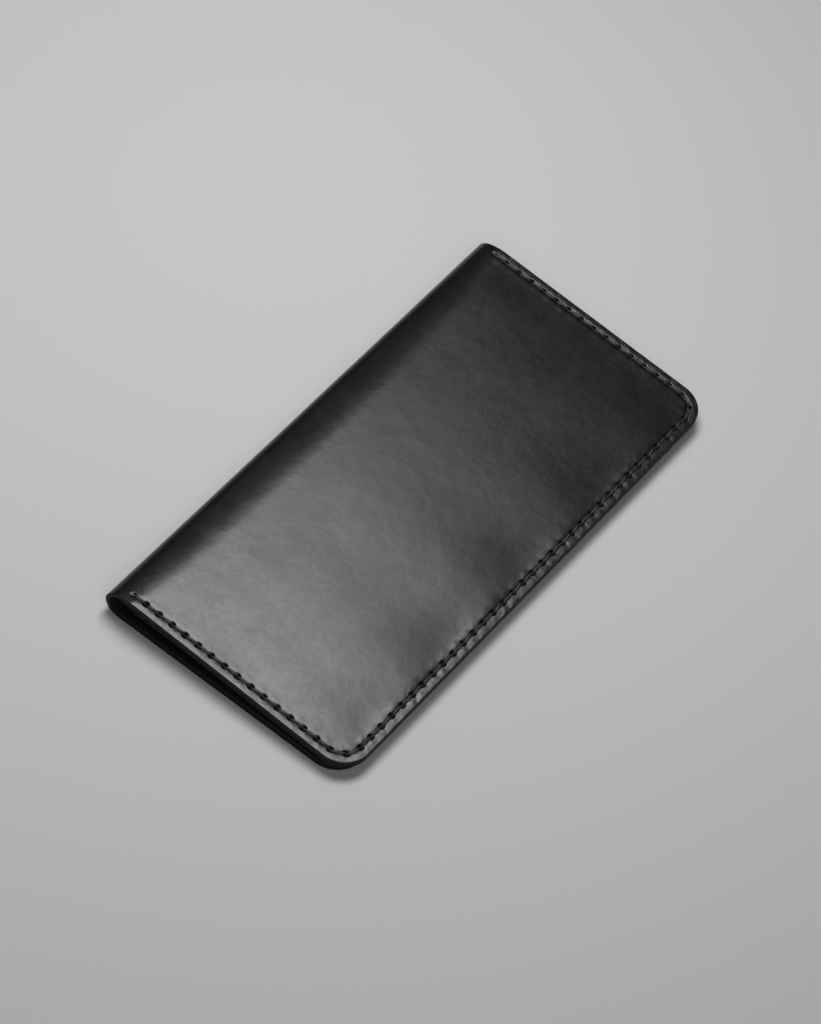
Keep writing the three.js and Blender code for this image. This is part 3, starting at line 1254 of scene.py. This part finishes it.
@dataclass(frozen=True)
class FoldLeather:
    """Leather of the cover that bends round the fold: one stretch from each leaf to the next."""

    loop: FoldLoop
    roll: FoldRoll
    leather: Leather
    half_length: float
    rounding: float = 0.25 * MM
    steps: int = 64
    rows: int = 72
    corner_segments: int = 3
    lowest_angle: float = -0.5
    flesh_share: float = 0.4
    swell: float = 0.05 * MM
    swell_length: float = 24 * MM

    @property
    def inner_radius(self) -> float:
        """Radius of the flesh side."""
        return self.loop.radius - self.leather.cover

    def section(self) -> BMesh:
        """Draw the cut of the leather along the fold, with its ends rubbed round.

        Returns:
            The flat section, where the back half ends.
        """
        section = bmesh.new()
        bmesh.ops.create_grid(section, x_segments=self.rows, y_segments=1, size=0.5)
        thickness = self.leather.cover
        move(section, Matrix((
            (0.0, 0.0, 0.0, self.loop.centre_x),
            (2 * self.half_length, 0.0, 0.0, 0.0),
            (0.0, thickness, 0.0, thickness / 2),
            (0.0, 0.0, 0.0, 1.0),
        )))
        corners = [vert for vert in section.verts if len(vert.link_edges) == 2]
        bmesh.ops.bevel(section, geom=corners, offset=self.rounding, segments=self.corner_segments,
                        profile=0.5, affect="VERTICES", material=-1)
        return section

    def skin(self, index: int) -> BMesh:
        """Build one stretch of the fold.

        Args:
            index: Number of the leaf that it starts at.

        Returns:
            The closed skin, in place.
        """
        centre = Vector((self.loop.centre_x, 0.0, self.loop.radius))
        axis = Vector((0.0, 1.0, 0.0))
        skin = self.section()
        bmesh.ops.rotate(skin, cent=centre, matrix=Matrix.Rotation(index * self.loop.turn, 3, axis),
                         verts=skin.verts[:])
        bmesh.ops.spin(skin, geom=skin.verts[:] + skin.edges[:] + skin.faces[:], cent=centre,
                       axis=axis, angle=self.loop.turn, steps=self.steps, use_merge=False)
        weld(skin)
        for face in skin.faces:
            face.material_index = self.finish_of(face).value
        unroll(skin, lambda point: (-self.polar(point)[0] * self.loop.radius, point.y))
        for vert in skin.verts:
            vert.co = self.settled(vert.co)
        return skin

    def polar(self, point: Vector) -> tuple[float, float]:
        """Find a point's place round the fold.

        Args:
            point: The point.

        Returns:
            Its angle from the back half, and its radius.
        """
        across = self.loop.centre_x - point.x
        down = self.loop.radius - point.z
        angle = math.atan2(across, down)
        if angle <= self.lowest_angle:
            angle += math.tau
        return angle, math.hypot(across, down)

    def finish_of(self, face: BMFace) -> Skin:
        """Choose the finish of a face by where it lies on the leather.

        Args:
            face: The face.

        Returns:
            Its finish.
        """
        middle = face.calc_center_median()
        _, radius = self.polar(middle)
        if abs(middle.y) > self.half_length - self.rounding / 2:
            return Skin.EDGE
        return Skin.GRAIN if radius > self.loop.radius - self.leather.cover / 2 else Skin.FLESH

    def settled(self, point: Vector) -> Vector:
        """Move a point of the round fold to where the worn leather has it.

        Args:
            point: The point on the round fold.

        Returns:
            Its place: sunk like the front cover, the flesh side less than the grain, and a little uneven.
        """
        angle, radius = self.polar(point)
        share = (radius - self.inner_radius) / self.leather.cover
        sink = self.roll.fold_sink(self.loop.whole - angle, point.y, self.loop.radius)
        ends = math.sin(math.pi * min(max(angle / self.loop.whole, 0.0), 1.0)) ** 2
        wave = noise.noise(Vector((angle * self.loop.radius, point.y, 1.0)) / self.swell_length)
        follow = self.flesh_share + (1 - self.flesh_share) * share
        place = self.loop.point(angle, radius - follow * sink + share * self.swell * ends * wave)
        place.y = point.y
        return place

    def build(self, joints: Sequence[dict], nodes: Sequence[str],
              finishes: Sequence[Material]) -> list[Object]:
        """Make the stretches, one for each hinge of the fold.

        Args:
            joints: Hinges of the fold, from the back half to the front half.
            nodes: Nodes that the fold stands for.
            finishes: Materials of grain, edge and flesh side.

        Returns:
            The pieces.
        """
        pieces = []
        for index, joint in enumerate(joints):
            piece = finish_piece(self.skin(index), f"fold_leather_{index + 1}", finishes)
            start = self.loop.point(index * self.loop.turn, self.loop.radius)
            end = self.loop.point((index + 1) * self.loop.turn, self.loop.radius)
            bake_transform(piece)
            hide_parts(nodes[min(index, len(nodes) - 1)])
            pieces.append(piece)
        return pieces


# Card slots and ticket pocket on the inside of the front half


@dataclass(frozen=True)
class InnerPockets:
    """Card slots, stacked in steps, and the ticket pocket beside them, with their seams."""

    half: Half
    leather: Leather
    slot_count: int = 3
    slot_width: float = 96 * MM
    stagger: float = 9 * MM
    first_mouth: float = 9 * MM
    bottom_inset: float = 14 * MM
    side_inset: float = 6.48 * MM
    spacing: float = 4 * MM
    step_clearance: float = 0.3 * MM
    ramp: float = 3 * MM
    corner: float = 4 * MM
    corner_segments: int = 8
    softness: float = 0.16 * MM
    soft_segments: int = 2
    wall_slope: float = math.radians(30)
    flat_slope: float = math.radians(20)
    crease_inset: float = 2.2 * MM
    crease_width: float = 0.35 * MM
    crease_depth: float = 0.07 * MM
    columns: int = 150
    rows: int = 24
    seam_inset: float = 2.5 * MM
    pitch: float = 3 * MM
    thread: float = 0.19 * MM
    thread_lift: float = 0.2
    thread_sink: float = 0.3 * MM
    tightness: int = 5
    samples: int = 7

    @property
    def floor(self) -> float:
        """Height of the lowest pocket's underside above the outside of the half."""
        return self.leather.half + self.leather.gap

    @property
    def slot_step(self) -> float:
        """Height from one slot to the next in the stack."""
        return self.leather.slot + self.leather.gap

    @property
    def slot_start(self) -> float:
        """Place along Y where the card slots start."""
        return self.side_inset - self.half.path.half_length

    @property
    def ticket_start(self) -> float:
        """Place along Y where the ticket pocket starts."""
        return self.slot_start + self.slot_width + self.spacing

    @property
    def ticket_width(self) -> float:
        """Width of the ticket pocket along Y."""
        return self.half.path.half_length - self.side_inset - self.ticket_start

    def mouth(self, index: int) -> float:
        """Return the reach of a slot's mouth."""
        return self.first_mouth + index * self.stagger

    def bottom(self, index: int) -> float:
        """Return the reach of a slot's lower edge."""
        return self.half.path.depth - self.bottom_inset - (self.slot_count - 1 - index) * self.stagger

    def underside(self, index: int, reach: float) -> float:
        """Work out the height of a slot's underside.

        Args:
            index: Number of the slot.
            reach: Way from the fold.

        Returns:
            The height above the outside of the half: it steps down past each slot below.
        """
        height = self.floor
        for below in range(index):
            past = reach - self.bottom(below) - self.step_clearance
            height += self.slot_step * (1 - ease(past / self.ramp))
        return height

    def top(self, reach: float) -> float:
        """Work out the height of whatever lies on top in the stack of slots.

        Args:
            reach: Way from the fold.

        Returns:
            The height above the outside of the half: it steps up about the middle of each mouth's edge.
        """
        height = self.underside(0, reach)
        for index in range(1, self.slot_count):
            raised = self.underside(index, reach) - self.underside(index - 1, reach)
            height += raised * ease((reach - self.mouth(index)) / self.leather.slot + 0.5)
        return height + self.leather.slot

    def slot_skin(self, index: int) -> BMesh:
        """Build one card slot.

        Args:
            index: Number of the slot.

        Returns:
            The closed skin, in place.
        """
        start, end = self.mouth(index), self.bottom(index)

        def lay(across: float, along: float) -> Vector:
            """Find a point of the slot's upper face.

            Args:
                across: Share of the way from the mouth to the lower edge.
                along: Share of the width.

            Returns:
                The drawn point.
            """
            reach = start + across * (end - start)
            crease = self.crease_depth * bell(reach - start - self.crease_inset, self.crease_width)
            height = self.underside(index, reach) + self.leather.slot - crease
            return self.half.drawn(reach, self.slot_start + along * self.slot_width, height)

        return self.thicken(grid_skin(self.columns, self.rows, lay))

    def ticket_skin(self) -> BMesh:
        """Build the ticket pocket: a patch with two round corners at its bottom.

        Returns:
            The closed skin, in place.
        """
        skin = bmesh.new()
        bmesh.ops.create_grid(skin, x_segments=1, y_segments=1, size=0.5)
        mouth, bottom = self.mouth(self.slot_count - 1), self.bottom(self.slot_count - 1)
        middle = (mouth + bottom) / 2
        centre = self.half.drawn(middle, self.ticket_start + self.ticket_width / 2,
                                 self.floor + self.leather.slot)
        size = Matrix.Diagonal((bottom - mouth, self.ticket_width, 1.0, 1.0))
        move(skin, Matrix.Translation(centre) @ size)
        lower = [vert for vert in skin.verts if abs(vert.co.x) > middle]
        bmesh.ops.bevel(skin, geom=lower, offset=self.corner, segments=self.corner_segments,
                        profile=0.5, affect="VERTICES", material=-1)
        return self.thicken(skin)

    def thicken(self, skin: BMesh) -> BMesh:
        """Give a thin pocket its thickness, soft edges and place.

        Args:
            skin: Its upper face, as drawn.

        Returns:
            The closed skin, in place.
        """
        unroll(skin, self.half.flat)
        verts, _, _ = extruded(bmesh.ops.extrude_face_region(skin, geom=skin.faces[:]))
        bmesh.ops.translate(skin, vec=(0.0, 0.0, -self.leather.slot), verts=list(verts))
        bmesh.ops.recalc_face_normals(skin, faces=skin.faces[:])
        for face in skin.faces:
            upright = abs(face.normal.z) < math.sin(self.wall_slope)
            face.material_index = (Skin.EDGE if upright else Skin.GRAIN).value
        rim = [edge for edge in skin.edges if edge.calc_face_angle(0.0) > SHARP_ANGLE]
        bmesh.ops.bevel(skin, geom=rim, offset=self.softness, segments=self.soft_segments, profile=0.5,
                        affect="EDGES", material=-1)
        skin.normal_update()
        flats = [face for face in skin.faces if abs(face.normal.z) > math.cos(self.flat_slope)]
        bmesh.ops.inset_region(skin, faces=flats, thickness=2 * self.softness, use_boundary=True,
                               use_even_offset=True, use_interpolate=True)
        move(skin, self.half.place)
        return skin

    def stitches(self, seam: EdgePath, mouth: float, start: float,
                 top: Callable[[float], float]) -> BMesh:
        """Sew round three sides of a pocket.

        Args:
            seam: The U of the seam.
            mouth: Reach of the pocket's mouth.
            start: Place along Y where the pocket starts.
            top: Gives the height of the pocket's upper face, by reach.

        Returns:
            The closed skin of the thread, in place.
        """
        first = seam.margin
        middle = start + seam.half_length
        count = round((seam.whole - 2 * first) / self.pitch)
        step = (seam.whole - 2 * first) / count
        line = []
        for sample in range(count * (self.samples - 1) + 1):
            stitch = sample / (self.samples - 1)
            dip = abs(2 * (stitch % 1.0) - 1) ** self.tightness
            reach, along = seam.point(first + stitch * step, seam.margin)
            out_reach, out_along = seam.outward(reach, along)
            height = top(mouth + reach) + self.thread * self.thread_lift - self.thread_sink * dip
            line.append((self.half.drawn(mouth + reach, middle + along, height),
                         self.half.drawn(out_reach, out_along, 0.0)))
        skin = thread_skin(line, self.thread, squeeze=1.0)
        move(skin, self.half.place)
        return skin

    def build(self, finishes: Sequence[Material], thread: Material) -> list[Object]:
        """Make the pockets and their seams.

        Args:
            finishes: Materials of grain, edge and flesh side.
            thread: Material of the fine thread.

        Returns:
            The pieces.
        """
        body = self.half.body
        pieces = []
        for index in range(self.slot_count):
            piece = finish_piece(self.slot_skin(index), f"card_slot_leather_{index + 1}", finishes)
            pieces.append(dress(piece, body, f"card_slot_{index + 1}"))
        piece = finish_piece(self.ticket_skin(), "ticket_pocket_leather", finishes)
        pieces.append(dress(piece, body, "ticket_pocket"))

        first, last = self.mouth(0), self.mouth(self.slot_count - 1)
        bottom = self.bottom(self.slot_count - 1)
        cards = EdgePath(bottom - first, self.slot_width / 2, self.seam_inset, self.seam_inset)
        skin = self.stitches(cards, first, self.slot_start, self.top)
        piece = finish_piece(skin, "card_slot_stitches", [thread])
        pieces.append(dress(piece, body, "card_seam_thread"))
        patch = EdgePath(bottom - last, self.ticket_width / 2, self.corner, self.seam_inset)
        skin = self.stitches(patch, last, self.ticket_start, lambda _: self.floor + self.leather.slot)
        piece = finish_piece(skin, "ticket_pocket_stitches", [thread])
        pieces.append(dress(piece, body, "ticket_seam_thread"))
        return pieces


# Studio


@dataclass(frozen=True)
class SoftLight:
    """A large soft light."""

    name: str
    place: tuple[float, float, float]
    aim: tuple[float, float, float]
    width: float
    height: float
    power: float
    spin: float = 0.0

    def build(self) -> None:
        """Hang the light, turn it to its aim and spin it about its own axis."""
        data = bpy.data.lights.new(self.name, "AREA")
        data.shape = "RECTANGLE"
        data.size = self.width
        data.size_y = self.height
        data.energy = self.power
        light = bpy.data.objects.new(self.name, data)
        direction = Vector(self.aim) - Vector(self.place)
        light.location = self.place
        turn = direction.to_track_quat("-Z", "Y").to_matrix() @ Matrix.Rotation(self.spin, 3, "Z")
        light.rotation_euler = turn.to_euler()
        bpy.context.scene.collection.objects.link(light)


@dataclass(frozen=True)
class PhotoCamera:
    """Camera at the viewing angle of the photograph, whose frame is 821 by 1024 pixels."""

    azimuth: float = math.radians(26.17)
    elevation: float = math.radians(53.22)
    roll: float = math.radians(14.07)
    distance: float = 1.382
    target: tuple[float, float, float] = (-0.00007, -0.00154, 0.0)
    focal_pixels: float = 4428.0
    frame_pixels: float = 1024.0
    sensor: float = 36.0
    clip_start: float = 0.01

    def build(self) -> None:
        """Set the camera up and make it the scene's own."""
        level = math.cos(self.elevation)
        back = Vector((math.sin(self.azimuth) * level, -math.cos(self.azimuth) * level,
                       math.sin(self.elevation)))
        flat_right = Vector((0.0, 0.0, 1.0)).cross(back).normalized()
        flat_up = back.cross(flat_right)
        right = flat_right * math.cos(self.roll) + flat_up * math.sin(self.roll)
        up = back.cross(right)
        turn = Matrix((right, up, back)).transposed().to_4x4()
        data = bpy.data.cameras.new("photo_camera")
        data.sensor_width = self.sensor
        data.lens = self.focal_pixels * self.sensor / self.frame_pixels
        data.clip_start = self.clip_start
        camera = bpy.data.objects.new("photo_camera", data)
        camera.matrix_world = Matrix.Translation(Vector(self.target) + back * self.distance) @ turn
        bpy.context.scene.collection.objects.link(camera)
        bpy.context.scene.camera = camera


@dataclass(frozen=True)
class Studio:
    """Plain pale floor and soft light."""

    floor_size: float = 6.0
    floor_gap: float = 0.05 * MM
    floor_finish: Finish = PaleFloor("pale_floor", (0.66, 0.655, 0.645), 0.7)
    ambient: float = 0.045
    lights: tuple[SoftLight, ...] = (
        SoftLight("key_light", place=(-0.149, 0.115, 0.553), aim=(-0.06, -0.06, 0.0),
                  width=0.345, height=0.244, power=2.5, spin=0.48),
        SoftLight("fill_light", place=(0.8, -0.9, 1.2), aim=(0.0, 0.0, 0.0),
                  width=1.0, height=1.0, power=5.0),
    )

    def build(self) -> None:
        """Make the floor, the lights, the world and the view settings."""
        floor = bmesh.new()
        bmesh.ops.create_grid(floor, x_segments=1, y_segments=1, size=self.floor_size / 2)
        bmesh.ops.translate(floor, vec=(0.0, 0.0, -self.floor_gap), verts=floor.verts[:])
        finish_piece(floor, "floor", [self.floor_finish.material()])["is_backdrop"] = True
        for light in self.lights:
            light.build()
        scene = bpy.context.scene
        world = bpy.data.worlds.new("studio")
        world.use_nodes = True
        background = world.node_tree.nodes["Background"]
        background.inputs["Color"].default_value = (1.0, 1.0, 1.0, 1.0)
        background.inputs["Strength"].default_value = self.ambient
        scene.world = world
        scene.view_settings.view_transform = "Standard"


def leather_finishes() -> tuple[list[Material], list[Material]]:
    """Make the finishes of the leather pieces.

    Returns:
        Grain, edge and flesh side of the cover, and then those of the pockets.
    """
    edge = BurnishedEdge("burnished_edge", (0.003, 0.003, 0.003), 0.5).material()
    flesh = FleshSide("flesh_side", (0.008, 0.0078, 0.0076), 0.85).material()
    cover = GrainLeather("cover_leather", (0.0035, 0.0035, 0.0035), 0.302).material()
    pocket = GrainLeather("pocket_leather", (0.009, 0.009, 0.009), 0.45,
                          mottle=(0.014, 0.014, 0.014)).material()
    return [cover, edge, flesh], [pocket, edge, flesh]


def main() -> None:
    """Build the wallet around its frame, piece by piece, and the studio that shows it."""
    logging.basicConfig(level=logging.INFO, format="%(name)s: %(message)s")
    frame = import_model()
    cad_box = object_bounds()
    PhotoCamera().build()
    Studio().build()

    joints = frame["joints"]
    loop = FoldLoop.from_joints(joints)
    half_length = (cad_box[1].y - cad_box[0].y) / 2
    front_root = loop.point(loop.whole, loop.radius)
    back_path = EdgePath(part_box("back_cover")[1].x - loop.centre_x, half_length)
    front_path = EdgePath((cad_box[1].x - front_root.x) / math.cos(loop.whole - math.pi), half_length)
    back = Half("back_half", side=1, turns=0, path=back_path, loop=loop)
    front = Half("front_half", side=-1, turns=loop.leaves, path=front_path, loop=loop)
    back_seam, front_seam = Seam(back), Seam(front)

    leather = Leather()
    roll = FoldRoll(half_length)
    sunk = SeamPull(groove=0.75 * MM, dimple=0.1 * MM, slit=0.5 * MM)
    drawn = SeamPull(groove=0.12 * MM, dimple=0.02 * MM, slit=0.9 * MM,
                     swell=0.05 * MM, rise=0.02 * MM, worn=0.05 * MM)
    inner = SeamPull(groove=0.42 * MM, dimple=0.1 * MM, slit=0.35 * MM)
    back_cover = LeatherSheet(back_seam, leather, sunk, Face.OUTSIDE)
    front_cover = FrontCover(front_seam, leather, drawn, Face.OUTSIDE, roll=roll)
    passport_pocket = PassportPocket(back_seam, leather, inner, Face.INSIDE)
    note_pocket = LeatherSheet(front_seam, leather, inner, Face.INSIDE)
    fold = FoldLeather(loop, roll, leather, half_length)
    back_thread = SeamThread(back_cover, outside_lift=-0.42 * MM)
    front_thread = SeamThread(front_cover, outside_lift=0.0)

    cover_finishes, pocket_finishes = leather_finishes()
    thread = WaxedThread("seam_thread", (0.004, 0.004, 0.004), 0.5).material()
    fine_thread = WaxedThread("pocket_thread", (0.006, 0.006, 0.006), 0.55).material()
    pieces = [
        back_cover.build("back_cover", cover_finishes),
        front_cover.build("front_cover", cover_finishes),
        *fold.build(joints, ("spine_strip_1", "spine_strip_2"), cover_finishes),
        passport_pocket.build("passport_pocket", pocket_finishes),
        note_pocket.build("note_pocket", pocket_finishes),
        *back_thread.build("back_seam", thread),
        *front_thread.build("front_seam", thread),
        *InnerPockets(front, leather).build(pocket_finishes, fine_thread),
    ]
    for piece in pieces:
        LOG.info("%s: %d faces", piece.name, len(piece.data.polygons))


if __name__ == "__main__":
    main()
